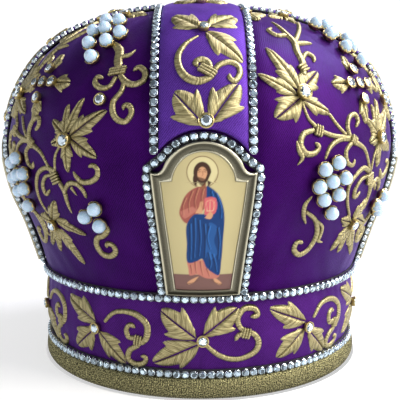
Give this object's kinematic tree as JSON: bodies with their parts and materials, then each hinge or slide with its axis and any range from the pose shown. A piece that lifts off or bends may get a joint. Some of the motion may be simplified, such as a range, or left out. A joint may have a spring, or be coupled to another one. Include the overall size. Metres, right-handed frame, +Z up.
{
  "type": "bishop mitre",
  "caption": "Round domed mitre in purple satin with an upright band, strips crossing over the top, framed icon plates, chains of clear stones, pearl bunches and set stones.",
  "frame": {"origin": "On the surface that the hem rests on, under the middle of the crown.", "axes": "+Z up, -Y to the front icon, +X to the right as seen from the front."},
  "size_m": [0.249, 0.249, 0.2149],
  "materials": {
    "crown_satin": "purple satin with a fine diagonal weave, padded over a stiff shell",
    "strip_satin": "purple satin, padded, a little brighter than the crown",
    "metal_braid": "ribbed gold metal-thread braid, folded round the edge",
    "stone_chain": "clear cut stones in silver cups on a dark backing",
    "frame_metal": "old bronze colour, satin polished, brighter on its edges",
    "painted_plate": "printed and lacquered picture on a pale gold ground",
    "pearl": "imitation pearls with a soft blue-white lustre, in thin gold cups",
    "set_stone": "clear cut stones with foiled backs, in gold cup settings"
  },
  "bodies": {
    "root": {"crown_panel_front_right": "crown_satin", "crown_panel_back_right": "crown_satin", "crown_panel_back_left": "crown_satin", "crown_panel_front_left": "crown_satin", "cross_strip_front_to_back": "strip_satin", "cross_strip_right": "strip_satin", "cross_strip_left": "strip_satin", "band": "crown_satin", "hem_braid": "metal_braid", "ring_chain_foot": "stone_chain", "ring_chain_top": "stone_chain", "strip_chain_long_left": "stone_chain", "strip_chain_right_left": "stone_chain", "strip_chain_left_left": "stone_chain", "strip_chain_long_right": "stone_chain", "strip_chain_right_right": "stone_chain", "strip_chain_left_right": "stone_chain", "icon_frame_front": "frame_metal", "icon_plate_front": "painted_plate", "icon_chain_front": "stone_chain", "stone_strip_front": "set_stone", "icon_frame_right": "frame_metal", "icon_plate_right": "painted_plate", "icon_chain_right": "stone_chain", "stone_strip_right": "set_stone", "icon_frame_back": "frame_metal", "icon_plate_back": "painted_plate", "icon_chain_back": "stone_chain", "stone_strip_back": "set_stone", "icon_frame_left": "frame_metal", "icon_plate_left": "painted_plate", "icon_chain_left": "stone_chain", "stone_strip_left": "set_stone", "pearls_low_front_right": "pearl", "pearls_high_front_right": "pearl", "pearls_small_front_right": "pearl", "stone_high_front_right": "set_stone", "stone_low_front_right": "set_stone", "pearls_low_back_right": "pearl", "pearls_high_back_right": "pearl", "pearls_small_back_right": "pearl", "stone_high_back_right": "set_stone", "stone_low_back_right": "set_stone", "pearls_low_back_left": "pearl", "pearls_high_back_left": "pearl", "pearls_small_back_left": "pearl", "stone_high_back_left": "set_stone", "stone_low_back_left": "set_stone", "pearls_low_front_left": "pearl", "pearls_high_front_left": "pearl", "pearls_small_front_left": "pearl", "stone_high_front_left": "set_stone", "stone_low_front_left": "set_stone"}
  },
  "joints": []
}
